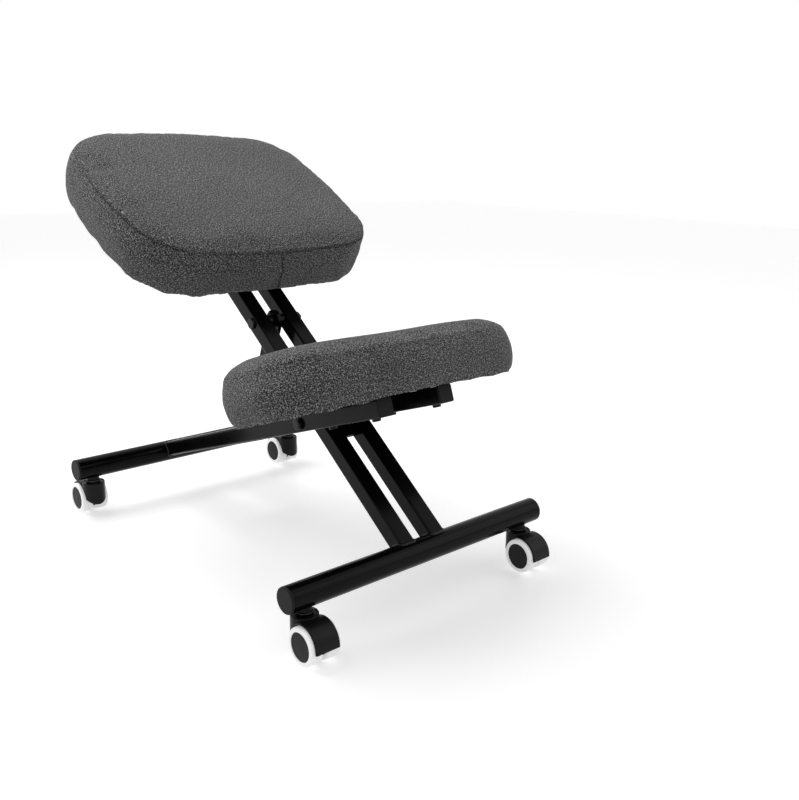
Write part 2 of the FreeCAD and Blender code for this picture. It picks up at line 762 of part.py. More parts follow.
def caster_nodes():
    nodes = {}
    for end, y, trail in (("front", 0, -1), ("rear", bar_spacing, 1)):
        stems = []
        sockets = []
        for name, x in (("left", -stem_half_spacing), ("right", stem_half_spacing)):
            key = end + "_" + name
            nodes["hood_" + key] = caster_hood(x, y, trail)
            nodes["axle_" + key] = caster_axle(x, y, trail)
            for wheel, side in (("outer", math.copysign(1, x)), ("inner", -math.copysign(1, x))):
                nodes["hub_" + key + "_" + wheel] = wheel_hub(x, y, trail, side)
                nodes["tread_" + key + "_" + wheel] = wheel_tread(x, y, trail, side)
            stems.append(caster_stem(x, y))
            sockets.append(caster_socket(x, y))
        nodes[end + "_caster_stems"] = group(stems)
        nodes[end + "_caster_sockets"] = group(sockets)
    return nodes


def build():
    """All nodes, moved so that the origin is on the floor at the middle of the outline."""
    nodes = frame_nodes()
    nodes.update(cushion_nodes())
    nodes.update(caster_nodes())
    whole = Part.makeCompound(list(nodes.values())).optimalBoundingBox(False, False)
    shift = Vector(0, -(whole.YMin + whole.YMax) / 2, 0)
    for shape in nodes.values():
        shape.translate(shift)
    print("move along Y", round(shift.y, 4), "size", round(whole.XLength, 2),
          round(whole.YLength, 2), round(whole.ZLength, 2))
    print("pivot", round(pivot_y + shift.y, 4), round(pivot_z, 4))
    print("link top", round(link_top_y + shift.y, 4), round(link_top_z, 4))
    print("slot", round(slot_y + shift.y, 4), round(slot_z, 4))
    return nodes


if __name__ == "__main__":
    os.makedirs("parts", exist_ok=True)
    for node_name, node_shape in build().items():
        node_shape.exportStep("parts/" + node_name + ".step")
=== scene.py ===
import json
import math

import bmesh
import bpy
import numpy as np
from mathutils import Matrix, Vector


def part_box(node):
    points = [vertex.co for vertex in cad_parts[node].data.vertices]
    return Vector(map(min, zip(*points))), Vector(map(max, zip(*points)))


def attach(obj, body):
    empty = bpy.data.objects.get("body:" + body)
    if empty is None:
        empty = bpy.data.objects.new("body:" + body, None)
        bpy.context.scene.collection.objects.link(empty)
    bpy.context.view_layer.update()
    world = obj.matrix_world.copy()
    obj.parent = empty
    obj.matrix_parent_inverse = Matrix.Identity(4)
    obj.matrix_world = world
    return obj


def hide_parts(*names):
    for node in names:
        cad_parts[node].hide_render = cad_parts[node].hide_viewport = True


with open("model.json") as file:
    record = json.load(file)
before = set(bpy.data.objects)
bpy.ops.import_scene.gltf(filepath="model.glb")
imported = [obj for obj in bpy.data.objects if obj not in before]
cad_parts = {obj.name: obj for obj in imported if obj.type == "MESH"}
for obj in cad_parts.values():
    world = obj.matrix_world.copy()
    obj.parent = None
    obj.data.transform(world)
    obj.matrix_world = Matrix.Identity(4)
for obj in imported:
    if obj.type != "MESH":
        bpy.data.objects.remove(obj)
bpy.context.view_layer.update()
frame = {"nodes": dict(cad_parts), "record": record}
nodes = frame["nodes"]

# Sizes of the chair, in metres and degrees, as in the part itself
BAR_RADIUS = 0.0175
BAR_HEIGHT = 0.08065
TUBE = 0.025
TUBE_CORNER = 0.003
TUBE_LIFT = 0.0027
POST_ANGLE = math.radians(37.0)
POST_X = 0.02725
ARM_ANGLE = math.radians(19.2)
SEAT_TILT = math.radians(28.7)
SEAT_PLACE = 0.6385
SEAT_LIFT = 0.013
KNEE_PLACE = 0.548
COVER = 0.001

front_bar_low, front_bar_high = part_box("front_bar")
rear_bar_low, rear_bar_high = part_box("rear_bar")
FRONT_Y = (front_bar_low.y + front_bar_high.y) / 2
REAR_Y = (rear_bar_low.y + rear_bar_high.y) / 2
ARM_X = (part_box("arm_right")[0].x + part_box("arm_right")[1].x) / 2


def post_point(along, lift):
    """A point above the posts' centre line, counted from the front bar."""
    up = TUBE_LIFT + lift
    return Vector((0.0, FRONT_Y + along * math.cos(POST_ANGLE) - up * math.sin(POST_ANGLE),
                   BAR_HEIGHT + along * math.sin(POST_ANGLE) + up * math.cos(POST_ANGLE)))


def arm_point(along, lift):
    """A point above the arms' centre line, counted from the rear bar."""
    up = TUBE_LIFT + lift
    return Vector((0.0, REAR_Y - along * math.cos(ARM_ANGLE) + up * math.sin(ARM_ANGLE),
                   BAR_HEIGHT + along * math.sin(ARM_ANGLE) + up * math.cos(ARM_ANGLE)))


SEAT_ORIGIN = Matrix.Translation(post_point(SEAT_PLACE, SEAT_LIFT))
SEAT_FRAME = SEAT_ORIGIN @ Matrix.Rotation(SEAT_TILT, 4, "X")
KNEE_ORIGIN = Matrix.Translation(arm_point(KNEE_PLACE, TUBE / 2 + COVER))
KNEE_FRAME = KNEE_ORIGIN @ Matrix.Rotation(-ARM_ANGLE, 4, "X")


# Picking, placing and joining pieces

def start():
    """Leaves edit mode and lets go of every piece."""
    if bpy.context.mode != "OBJECT":
        bpy.ops.object.mode_set(mode="OBJECT")
    bpy.ops.object.select_all(action="DESELECT")


def take(obj):
    """Picks one piece alone."""
    start()
    obj.select_set(True)
    bpy.context.view_layer.objects.active = obj
    return obj


def primitive(kind, name, **options):
    """Adds a plain form at its size and place."""
    start()
    getattr(bpy.ops.mesh, "primitive_" + kind + "_add")(**options)
    obj = bpy.context.active_object
    obj.name = name
    obj.data.name = name
    return obj


def settle(obj):
    """Puts a piece's place and turn into its own shape."""
    take(obj)
    bpy.ops.object.transform_apply(location=True, rotation=True, scale=True)
    return obj


def modify(obj, kind, **values):
    """Shapes a piece in one step and fixes the result."""
    take(obj)
    modifier = obj.modifiers.new(kind.title(), kind)
    for key, value in values.items():
        setattr(modifier, key, value)
    bpy.ops.object.modifier_apply(modifier=modifier.name)
    return obj


def smooth(obj, angle):
    """Rounds the shading of edges that are flatter than the angle."""
    take(obj)
    bpy.ops.object.shade_smooth_by_angle(angle=math.radians(angle))
    return obj


def join(pieces, name):
    """Makes one piece of many."""
    start()
    for piece in pieces:
        piece.select_set(True)
    bpy.context.view_layer.objects.active = pieces[0]
    bpy.ops.object.join()
    pieces[0].name = name
    pieces[0].data.name = name
    return pieces[0]


def dress(obj, material, body):
    """Gives a finished piece its material and body."""
    obj.data.materials.clear()
    obj.data.materials.append(material)
    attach(obj, body)
    return obj


# Materials

class Finish:
    """A surface finish being mixed, step by step."""

    def __init__(self, name, **shader):
        self.material = bpy.data.materials.new(name)
        self.material.use_nodes = True
        self.tree = self.material.node_tree
        self.shader = self.tree.nodes["Principled BSDF"]
        for key, value in shader.items():
            self.shader.inputs[key.replace("_", " ")].default_value = value
        self.place = None

    def add(self, kind, **values):
        node = self.tree.nodes.new(kind)
        for key, value in values.items():
            setattr(node, key, value)
        return node

    def link(self, source, target):
        if isinstance(source, (int, float)):
            target.default_value = source
        else:
            self.tree.links.new(source, target)

    def object_place(self):
        if self.place is None:
            self.place = self.add("ShaderNodeTexCoord").outputs["Object"]
        return self.place

    def uv_place(self, name):
        return self.add("ShaderNodeUVMap", uv_map=name).outputs["UV"]

    def scaled(self, place, scale):
        mapping = self.add("ShaderNodeMapping")
        self.link(place, mapping.inputs["Vector"])
        mapping.inputs["Scale"].default_value = scale
        return mapping.outputs["Vector"]

    def noise(self, place, scale, detail=3.0, roughness=0.5, distortion=0.0):
        node = self.add("ShaderNodeTexNoise")
        self.link(place, node.inputs["Vector"])
        node.inputs["Scale"].default_value = scale
        node.inputs["Detail"].default_value = detail
        node.inputs["Roughness"].default_value = roughness
        node.inputs["Distortion"].default_value = distortion
        return node.outputs["Fac"]

    def math(self, operation, a, b=0.0):
        node = self.add("ShaderNodeMath", operation=operation)
        self.link(a, node.inputs[0])
        self.link(b, node.inputs[1])
        return node.outputs[0]

    def blend(self, factor, a, b):
        """A number between a and b."""
        node = self.add("ShaderNodeMix", data_type="FLOAT")
        self.link(factor, node.inputs[0])
        self.link(a, node.inputs[2])
        self.link(b, node.inputs[3])
        return node.outputs[0]

    def ramp(self, factor, *stops):
        node = self.add("ShaderNodeValToRGB")
        self.link(factor, node.inputs["Fac"])
        ramp = node.color_ramp
        while len(ramp.elements) < len(stops):
            ramp.elements.new(0.5)
        for element, (position, colour) in zip(ramp.elements, stops):
            element.position = position
            element.color = (*colour, 1.0)
        return node.outputs["Color"]

    def grey_ramp(self, factor, *stops):
        return self.ramp(factor, *[(p, (v, v, v)) for p, v in stops])

    def mix(self, factor, a, b, mode="MIX"):
        """A colour between a and b, or their product."""
        node = self.add("ShaderNodeMix", data_type="RGBA", blend_type=mode)
        self.link(factor, node.inputs[0])
        for source, socket in ((a, node.inputs[6]), (b, node.inputs[7])):
            if isinstance(source, tuple):
                socket.default_value = (*source, 1.0)
            else:
                self.link(source, socket)
        return node.outputs[2]

    def bump(self, height, distance, strength):
        node = self.add("ShaderNodeBump")
        node.inputs["Strength"].default_value = strength
        node.inputs["Distance"].default_value = distance
        self.link(height, node.inputs["Height"])
        self.link(node.outputs["Normal"], self.shader.inputs["Normal"])

    def colour(self, source):
        self.link(source, self.shader.inputs["Base Color"])

    def roughness(self, source):
        self.link(source, self.shader.inputs["Roughness"])


THREAD = 0.0013
FLECK_LONG = 0.0034
FLECK_WIDE = 0.0013
WOBBLE = 0.0016
FLECK_SHARE = 0.72


def woven_cloth():
    """Dark grey flecked plain weave, its warp and weft laid along the cover, with painted shade
    where the threads dip and along the seams.
    """
    f = Finish("woven_cloth", Sheen_Weight=0.20, Sheen_Roughness=0.40, IOR=1.4)
    f.shader.inputs["Specular IOR Level"].default_value = 0.2
    uv = f.uv_place("cloth")
    split = f.add("ShaderNodeSeparateXYZ")
    f.link(uv, split.inputs[0])
    wobble = f.math("MULTIPLY", f.math("SUBTRACT", f.noise(uv, 60.0, 1.0), 0.5), WOBBLE)
    warp = f.math("DIVIDE", f.math("ADD", split.outputs[0], wobble), THREAD)
    weft = f.math("DIVIDE", f.math("ADD", split.outputs[1], wobble), THREAD)
    parity = f.math("MODULO", f.math("ADD", f.math("FLOOR", warp), f.math("FLOOR", weft)), 2.0)
    over = f.math("ABSOLUTE", parity)
    warp_round = f.math("ABSOLUTE", f.math("SINE", f.math("MULTIPLY", warp, math.pi)))
    weft_round = f.math("ABSOLUTE", f.math("SINE", f.math("MULTIPLY", weft, math.pi)))
    weave = f.blend(over, warp_round, weft_round)
    warp_fleck = f.noise(f.scaled(uv, (1 / FLECK_WIDE, 1 / FLECK_LONG, 1.0)), 1.0, 2.0, 0.65)
    weft_fleck = f.noise(f.scaled(uv, (1 / FLECK_LONG, 1 / FLECK_WIDE, 1.0)), 1.0, 2.0, 0.65)
    fleck = f.blend(over, warp_fleck, weft_fleck)
    tuft = f.noise(uv, 700.0, 2.0, 0.6)
    mixed = f.math("ADD", f.math("MULTIPLY", fleck, FLECK_SHARE),
                   f.math("MULTIPLY", tuft, 1 - FLECK_SHARE))
    yarn = f.grey_ramp(mixed, (0.38, 0.004), (0.455, 0.026), (0.53, 0.115), (0.61, 0.60))
    cloud = f.grey_ramp(f.noise(f.object_place(), 9.0, 3.0), (0.3, 0.88), (0.7, 1.06))
    # Painted shade: the weave is darker where the threads dip under each other.
    shade = f.grey_ramp(weave, (0.0, 0.62), (0.75, 1.0))
    # Painted shade: along the seams and boxing joints the cloth is darkened to a tenth, by the mask
    # made in shape_pad.
    seam_shade = f.add("ShaderNodeAttribute", attribute_name="seam_shade").outputs["Fac"]
    shade = f.mix(seam_shade, shade, (0.10, 0.10, 0.10))
    f.colour(f.mix(1.0, f.mix(1.0, yarn, cloud, "MULTIPLY"), shade, "MULTIPLY"))
    f.roughness(f.blend(weave, 0.97, 0.86))
    relief = f.math("ADD", f.math("MULTIPLY", weave, 0.7), f.math("MULTIPLY", tuft, 0.6))
    f.bump(relief, 0.00055, 0.9)
    return f.material


def powder_coat():
    """Gloss black powder coat with a light orange peel and a little dust."""
    f = Finish("powder_coat", Specular_IOR_Level=0.09, IOR=1.5)
    place = f.object_place()
    peel = f.noise(place, 620.0, 2.0, 0.5)
    cloud = f.noise(place, 22.0, 4.0, 0.6)
    f.colour(f.grey_ramp(cloud, (0.35, 0.0015), (0.7, 0.0032)))
    f.roughness(f.blend(cloud, 0.14, 0.24))
    f.bump(peel, 0.00005, 0.3)
    return f.material


def moulded_black(name, low, high, rough, grain, gloss):
    """Moulded nylon or polypropylene with a fine spark-eroded grain."""
    f = Finish(name, IOR=1.49, Specular_IOR_Level=gloss)
    place = f.object_place()
    fine = f.noise(place, 1700.0, 2.0, 0.6)
    cloud = f.noise(place, 30.0, 3.0, 0.6)
    f.colour(f.grey_ramp(cloud, (0.3, low), (0.7, high)))
    f.roughness(f.blend(cloud, rough - 0.05, rough + 0.06))
    f.bump(fine, grain, 0.6)
    return f.material


def glowing_white_tread():
    """White polyurethane, a little dusty where it rolls, with a painted glow that brightens it."""
    # Painted light: the tread glows white at a quarter strength, though it is no lamp.
    f = Finish("glowing_white_tread", IOR=1.5, Emission_Strength=0.24)
    place = f.object_place()
    dust = f.noise(place, 90.0, 5.0, 0.7)
    f.colour(f.ramp(dust, (0.35, (0.90, 0.90, 0.89)), (0.62, (0.96, 0.96, 0.955))))
    f.roughness(f.blend(dust, 0.42, 0.55))
    f.bump(f.noise(place, 1500.0, 2.0), 0.00003, 0.5)
    return f.material


def turned_steel():
    """Black-chromed turned steel with fine rings left by the lathe."""
    f = Finish("turned_steel", Metallic=1.0)
    place = f.object_place()
    rings = f.noise(f.scaled(place, (60.0, 60.0, 4200.0)), 1.0, 3.0, 0.6)
    f.colour(f.ramp(rings, (0.3, (0.022, 0.022, 0.023)), (0.7, (0.05, 0.05, 0.051))))
    f.roughness(f.blend(rings, 0.12, 0.24))
    f.bump(rings, 0.00002, 0.5)
    return f.material


def black_bolt():
    """Black-oxide bolts, oily and worn to steel on the highest grain."""
    f = Finish("black_bolt", Specular_IOR_Level=0.2)
    place = f.object_place()
    scuff = f.noise(place, 420.0, 5.0, 0.7)
    f.colour(f.grey_ramp(scuff, (0.4, 0.004), (0.62, 0.008), (0.74, 0.05)))
    f.roughness(f.blend(scuff, 0.24, 0.44))
    f.bump(scuff, 0.00004, 0.5)
    return f.material


def weld_metal():
    """Weld beads under the powder coat, with round flow marks."""
    f = Finish("weld_metal", Specular_IOR_Level=0.22, IOR=1.5)
    place = f.object_place()
    spatter = f.noise(place, 800.0, 3.0, 0.6)
    f.colour(f.grey_ramp(spatter, (0.3, 0.003), (0.7, 0.006)))
    f.roughness(f.blend(spatter, 0.12, 0.24))
    f.bump(spatter, 0.00012, 0.6)
    return f.material


def plywood():
    """Birch plywood: plies on the edge, stretched grain on the face."""
    f = Finish("plywood", Roughness=0.7)
    place = f.object_place()
    grain = f.noise(f.scaled(place, (40.0, 6.0, 40.0)), 1.0, 5.0, 0.65, 0.6)
    fine = f.noise(f.scaled(place, (900.0, 60.0, 900.0)), 1.0, 2.0)
    mixed = f.math("ADD", f.math("MULTIPLY", grain, 0.75), f.math("MULTIPLY", fine, 0.25))
    f.colour(f.ramp(mixed, (0.35, (0.33, 0.21, 0.11)), (0.52, (0.52, 0.36, 0.20)),
                    (0.7, (0.66, 0.50, 0.31))))
    f.bump(fine, 0.0001, 0.6)
    return f.material


def dust_cloth():
    """Thin black spun-bonded cover with a pressed dot pattern."""
    f = Finish("dust_cloth", Roughness=0.93, Specular_IOR_Level=0.15)
    place = f.object_place()
    dots = f.add("ShaderNodeTexVoronoi", feature="F1")
    f.link(place, dots.inputs["Vector"])
    dots.inputs["Scale"].default_value = 520.0
    dots.inputs["Randomness"].default_value = 0.2
    fibre = f.noise(f.scaled(place, (1400.0, 300.0, 900.0)), 1.0, 3.0, 0.7)
    f.colour(f.grey_ramp(fibre, (0.35, 0.006), (0.7, 0.018)))
    f.bump(f.math("ADD", dots.outputs["Distance"], f.math("MULTIPLY", fibre, 0.5)), 0.0002, 0.6)
    return f.material


def staple_wire():
    """Galvanised staple wire."""
    f = Finish("staple_wire", Metallic=1.0)
    place = f.object_place()
    cloud = f.noise(place, 900.0, 3.0)
    f.colour(f.ramp(cloud, (0.3, (0.42, 0.43, 0.45)), (0.7, (0.6, 0.61, 0.62))))
    f.roughness(f.blend(cloud, 0.3, 0.45))
    return f.material


CLOTH = woven_cloth()
PAINT = powder_coat()
CAP = moulded_black("cap_plastic", 0.010, 0.015, 0.52, 0.00006, 0.12)
HOOD = moulded_black("caster_plastic", 0.005, 0.009, 0.30, 0.00004, 0.14)
HUB = moulded_black("hub_plastic", 0.016, 0.026, 0.50, 0.00008, 0.12)
TREAD = glowing_white_tread()
STEEL = turned_steel()
BOLT = black_bolt()
WELD = weld_metal()
PLY = plywood()
DUST = dust_cloth()
STAPLE = staple_wire()

BY_SLOT = {"frame_paint": PAINT, "cap_plastic": CAP, "black_bolts": BOLT, "stem_steel": STEEL,
           "plywood": PLY, "under_cloth": DUST, "woven_cloth": CLOTH, "caster_plastic": HOOD,
           "hub_plastic": HUB, "tread_rubber": TREAD}
for part in frame["record"]["subparts"]:
    slots = nodes[part["node"]].material_slots
    for material_slot in slots:
        material_slot.material = BY_SLOT[part["material_slot"]]


# Cushions

# The last size of each pad scales both its seam cut and its painted seam shade.
PAD_SIZES = {
    "seat": {"half_width": 0.207, "half_depth": 0.1795, "side_radius": 0.600,
             "front_radius": 0.800, "corner_radius": 0.095, "height": 0.072,
             "crown": 0.009, "bulge": 0.009, "seam_cut_and_shade": 1.0},
    "knee": {"half_width": 0.212, "half_depth": 0.104, "side_radius": 0.290,
             "front_radius": 1.100, "corner_radius": 0.074, "height": 0.0645,
             "crown": 0.015, "bulge": 0.010, "seam_cut_and_shade": 0.3},
}
BOARD_INSET = 0.014
TIGHTEST_CORNER = 0.008
POINTS_PER_ARC = 40
GRID = 0.0045
SWELL_FRAMES = 20
SWELL_PRESSURE = 4.0
CLOTH_STRETCH = 30.0
CLOTH_BEND = 2.0
POINTS_AT_ONCE = 4000
UNDERSIDE = -0.0007

# Seams, creases and hem, in metres
SEAM_CUT = 0.0022
SEAM_CUT_WIDTH = 0.0019
SEAM_SWELL = 0.0009
SEAM_SWELL_WIDTH = 0.0060
SEAM_PUCKER = 0.00028
JOINT_CUT = 0.0024
JOINT_CUT_WIDTH = 0.0018
JOINT_SWELL = 0.0007
JOINT_SWELL_WIDTH = 0.0055
WAVE = 0.0006
HEM_HEIGHT = 0.012
SLACK_REACH = 0.035


def pad_outline(pad, inset=0.0):
    """Points round a pad's outline: four shallow side arcs joined by four corner arcs."""
    width = pad["half_width"] - inset
    depth = pad["half_depth"] - inset
    corner = max(pad["corner_radius"] - inset, TIGHTEST_CORNER)
    side_centre = Vector((width - pad["side_radius"], 0.0))
    front_centre = Vector((0.0, depth - pad["front_radius"]))
    reach_side = pad["side_radius"] - corner
    reach_front = pad["front_radius"] - corner
    span = (front_centre - side_centre).length
    along = (reach_side ** 2 - reach_front ** 2 + span ** 2) / (2 * span)
    off = math.sqrt(reach_side ** 2 - along ** 2)
    toward = (front_centre - side_centre) / span
    centre = side_centre + along * toward + off * Vector((-toward.y, toward.x))
    side_end = math.atan2(centre.y - side_centre.y, centre.x - side_centre.x)
    front_end = math.atan2(centre.y - front_centre.y, centre.x - front_centre.x)
    quarter = []
    for mid, radius, low, high in ((side_centre, pad["side_radius"], 0.0, side_end),
                                   (centre, corner, side_end, front_end),
                                   (front_centre, pad["front_radius"], front_end, math.pi / 2)):
        for i in range(POINTS_PER_ARC):
            angle = low + (high - low) * i / POINTS_PER_ARC
            quarter.append((mid.x + radius * math.cos(angle), mid.y + radius * math.sin(angle)))
    quarter = np.array(quarter + [(0.0, depth)])
    left = quarter[::-1] * (-1, 1)
    half = np.vstack((quarter, left[1:]))
    return np.vstack((half, (half[::-1] * (1, -1))[1:-1]))


def ring_form(name, outline_at, sections):
    """A closed form through outlines at (inset, level) sections, in a pad's own axes."""
    mesh = bpy.data.meshes.new(name)
    work = bmesh.new()
    rings = []
    for inset, level in sections:
        rings.append([work.verts.new((x, y, level)) for x, y in outline_at(inset)])
    count = len(rings[0])
    for low, high in zip(rings, rings[1:]):
        for i in range(count):
            j = (i + 1) % count
            work.faces.new((low[i], low[j], high[j], high[i]))
    work.faces.new(list(reversed(rings[0])))
    work.faces.new(rings[-1])
    work.to_mesh(mesh)
    work.free()
    obj = bpy.data.objects.new(name, mesh)
    bpy.context.scene.collection.objects.link(obj)
    return obj


def mesh_points(obj):
    flat = np.zeros(len(obj.data.vertices) * 3)
    obj.data.vertices.foreach_get("co", flat)
    return flat.reshape(-1, 3)


def set_points(obj, points):
    obj.data.vertices.foreach_set("co", np.ascontiguousarray(points, float).ravel())
    obj.data.update()


def mesh_normals(obj):
    flat = np.zeros(len(obj.data.vertices) * 3, np.float32)
    obj.data.vertex_normals.foreach_get("vector", flat)
    return flat.reshape(-1, 3).astype(float)


def inflate(obj, cap):
    """Swells a pad with cloth under pressure, as foam does in its cover, by at most cap."""
    modify(obj, "REMESH", mode="VOXEL", voxel_size=GRID)
    rest = mesh_points(obj)
    take(obj)
    cloth = obj.modifiers.new("Swell", "CLOTH")
    settings = cloth.settings
    settings.use_pressure = True
    settings.uniform_pressure_force = SWELL_PRESSURE
    settings.effector_weights.gravity = 0.0
    settings.tension_stiffness = CLOTH_STRETCH
    settings.compression_stiffness = CLOTH_STRETCH
    settings.bending_stiffness = CLOTH_BEND
    cloth.point_cache.frame_start = 1
    cloth.point_cache.frame_end = SWELL_FRAMES
    for step in range(1, SWELL_FRAMES + 1):
        bpy.context.scene.frame_set(step)
    view = obj.evaluated_get(bpy.context.evaluated_depsgraph_get())
    flat = np.zeros(len(view.data.vertices) * 3)
    view.data.vertices.foreach_get("co", flat)
    moved = flat.reshape(-1, 3) - rest
    length = np.linalg.norm(moved, axis=1, keepdims=True)
    obj.modifiers.remove(cloth)
    bpy.context.scene.frame_set(1)
    set_points(obj, rest + moved * np.minimum(1.0, cap / np.maximum(length, 1e-9)))
    modify(obj, "SUBSURF", levels=1, render_levels=1)
    return obj


def outline_measure(points, outline):
    """How far inside an outline each point lies (below nought when outside), and how far round."""
    nearest = np.zeros(len(points))
    place = np.zeros(len(points))
    step = np.roll(outline, -1, 0) - outline
    lengths = np.linalg.norm(step, axis=1)
    starts = np.concatenate(((0.0,), np.cumsum(lengths)[:-1]))
    inward = np.stack((-step[:, 1], step[:, 0]), 1) / lengths[:, None]
    for low in range(0, len(points), POINTS_AT_ONCE):
        high = low + POINTS_AT_ONCE
        chunk = points[low:high, None, :2] - outline[None]
        near = np.argmin((chunk ** 2).sum(2), 1)
        offset = chunk[np.arange(len(near)), near]
        nearest[low:high] = (offset * inward[near]).sum(1)
        along = (offset * step[near]).sum(1) / lengths[near]
        place[low:high] = starts[near] + along
    return nearest, place


def ripple(place, period, seed, share=0.35):
    """A soft, uneven wave round an outline."""
    rng = np.random.default_rng(seed)
    total = np.zeros_like(place)
    for i in range(5):
        wave = period * (0.6 + 0.9 * rng.random())
        total += np.sin(2 * math.pi * place / wave + 2 * math.pi * rng.random())
    return share * total


def slack_cover(points, pad, inside, slack):
    """Moves the sides out where the cover hangs loose, by angle, spread, low, high and amount."""
    angle = np.arctan2(points[:, 1] / pad["half_depth"], points[:, 0] / pad["half_width"])
    flat = np.clip(1.0 - np.abs(inside) / SLACK_REACH, 0.0, 1.0)
    share = points[:, 2] / pad["height"]
    reach = np.linalg.norm(points[:, :2], axis=1, keepdims=True)
    away = points[:, :2] / np.maximum(reach, 1e-6)
    total = np.zeros(len(points))
    for middle, spread, low, high, amount in slack:
        turn = np.abs((angle - math.radians(middle) + math.pi) % (2 * math.pi) - math.pi)
        near = np.exp(-(turn / math.radians(spread)) ** 2)
        rise = np.clip((high - share) / 0.25, 0.0, 1.0)
        rise = rise * np.clip((share - low) / 0.25, 0.0, 1.0)
        total += amount * near * rise
    points[:, :2] += away * (total * flat)[:, None]
    return points


def dip(distance, width):
    """One at a seam, fading to nothing beside it."""
    return np.exp(-(distance / width) ** 2)


def shape_pad(obj, pad, seed, hem_drop, boxing_seams, side_creases, slack):
    """Cuts the seams, creases the sides, lets the hem hang and marks where painted shade darkens the
    seams.
    """
    points = mesh_points(obj)
    normals = mesh_normals(obj)
    inside, place = outline_measure(points, pad_outline(pad))
    level = points[:, 2]
    height = pad["height"]
    # The pad's seam size scales both the seam cut and the painted seam shade.
    depth = pad["seam_cut_and_shade"]
    seam = np.where(level > 0.6 * height, inside + level - height, 1.0)
    # Painted shade along the top seams, strongest in the seam line.
    seam_shade = depth * dip(seam, 0.0017) * (0.62 + 0.3 * np.sin(place * 19.0))
    pucker = ripple(place, 0.021, seed)
    lift = SEAM_SWELL * dip(seam, SEAM_SWELL_WIDTH) - SEAM_CUT * depth * dip(seam, SEAM_CUT_WIDTH)
    lift += SEAM_PUCKER * pucker * dip(seam, 0.014)
    side = np.clip(1.0 - np.abs(inside) / 0.02, 0.0, 1.0) * (level < height - 0.003)
    for centre_x, centre_y in boxing_seams:
        sway = centre_x - 0.008 * (level / height) + 0.0012 * np.sin(level * 190.0)
        away = np.abs(points[:, 0] - sway)
        near = side * (np.sign(points[:, 1]) == np.sign(centre_y))
        lift += near * (JOINT_SWELL * dip(away, JOINT_SWELL_WIDTH)
                        - JOINT_CUT * dip(away, JOINT_CUT_WIDTH))
        # Painted shade along the boxing joints.
        seam_shade = np.maximum(seam_shade, near * dip(away, 0.0015))
    low_side = dip(level - 0.2 * height, 0.3 * height)
    lift += side * low_side * side_creases * ripple(place, 0.034, seed + 1)
    lift += WAVE * ripple(place, 0.16, seed + 2) * side
    underside = (level < 0.010) & (inside > 0.006)
    top = (level > height) * np.clip(inside / 0.05, 0.0, 1.0)
    dents = np.sin(points[:, 0] * 31.0 + seed) * np.sin(points[:, 1] * 37.0 + 2.0 * seed)
    lift += WAVE * top * dents
    points = slack_cover(points + normals * lift[:, None], pad, inside, slack)
    hem = dip(np.clip(level, 0.0, None), HEM_HEIGHT) * np.clip(1.15 - inside / BOARD_INSET, 0.0, 1.0)
    clear_of_arms = np.clip((np.abs(points[:, 0]) - ARM_X - 0.02) / 0.03, 0.0, 1.0)
    sag = hem_drop * (1.0 + 0.45 * ripple(place, 0.045, seed + 3))
    points[underside, 2] = UNDERSIDE
    points[:, 2] -= hem * clear_of_arms * sag
    set_points(obj, points)
    # The painted seam shade goes to the cloth material as a point attribute.
    mark = obj.data.attributes.new("seam_shade", "FLOAT", "POINT")
    mark.data.foreach_set("value", np.clip(seam_shade, 0.0, 1.0).astype(np.float32))
    return obj


def cloth_map(obj, pad):
    """Lays the cloth in metres: flat on top and below, and along the boxing on the sides."""
    edge = pad_outline(pad)
    points = mesh_points(obj)
    inside, place = outline_measure(points, edge)
    total = np.linalg.norm(np.roll(edge, -1, 0) - edge, axis=1).sum()
    mesh = obj.data
    layer = mesh.uv_layers.new(name="cloth")
    corners = np.zeros(len(mesh.loops), np.int64)
    mesh.loops.foreach_get("vertex_index", corners)
    starts = np.zeros(len(mesh.polygons), np.int64)
    sizes = np.zeros(len(mesh.polygons), np.int64)
    mesh.polygons.foreach_get("loop_start", starts)
    mesh.polygons.foreach_get("loop_total", sizes)
    face_of = np.repeat(np.arange(len(starts)), sizes)
    centre = np.zeros((len(starts), 2))
    np.add.at(centre, face_of, np.stack((inside[corners], points[corners, 2]), 1))
    centre /= sizes[:, None]
    inner, level = centre.T
    flat = (level > pad["height"] - 0.0005) | (inner > BOARD_INSET) | (level < 0.0004)
    flat = flat[face_of]
    first = place[corners[starts]][face_of]
    along = place[corners]
    along = np.where(along - first > total / 2, along - total, along)
    along = np.where(first - along > total / 2, along + total, along)
    u = np.where(flat, points[corners, 0], along)
    v = np.where(flat, points[corners, 1], points[corners, 2] + 0.3)
    layer.data.foreach_set("uv", np.stack((u, v), 1).ravel().astype(np.float32))


def cushion(name, pad, place, body, seed, hem_drop, boxing_seams, cap,
            side_creases, slack):
    """A foam pad in a boxed, sewn cover, drawn under its board."""
    height = pad["height"]
    crown = pad["crown"]
    bulge = pad["bulge"]
    depth = pad["half_depth"]
    shrink = 0.4 * cap
    sections = [(0.0005, UNDERSIDE), (-0.55 * bulge + shrink, 0.10 * height),
                (-0.85 * bulge + shrink, 0.28 * height), (-bulge + shrink, 0.5 * height),
                (-0.7 * bulge + shrink, 0.75 * height), (-0.25 * bulge + shrink, 0.92 * height),
                (0.4 * shrink, height - 0.0005),
                (0.05 * depth, height + 0.22 * crown), (0.14 * depth, height + 0.52 * crown),
                (0.3 * depth, height + 0.80 * crown), (0.6 * depth, height + 0.98 * crown),
                (0.8 * depth, height + crown)]
    obj = ring_form(name, lambda inset: pad_outline(pad, inset), sections)
    inflate(obj, cap)
    shape_pad(obj, pad, seed, hem_drop, boxing_seams, side_creases, slack)
    cloth_map(obj, pad)
    obj.data.transform(place)
    smooth(obj, 60.0)
    dress(obj, CLOTH, body)
    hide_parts(name.replace("_pad", "_cushion"))


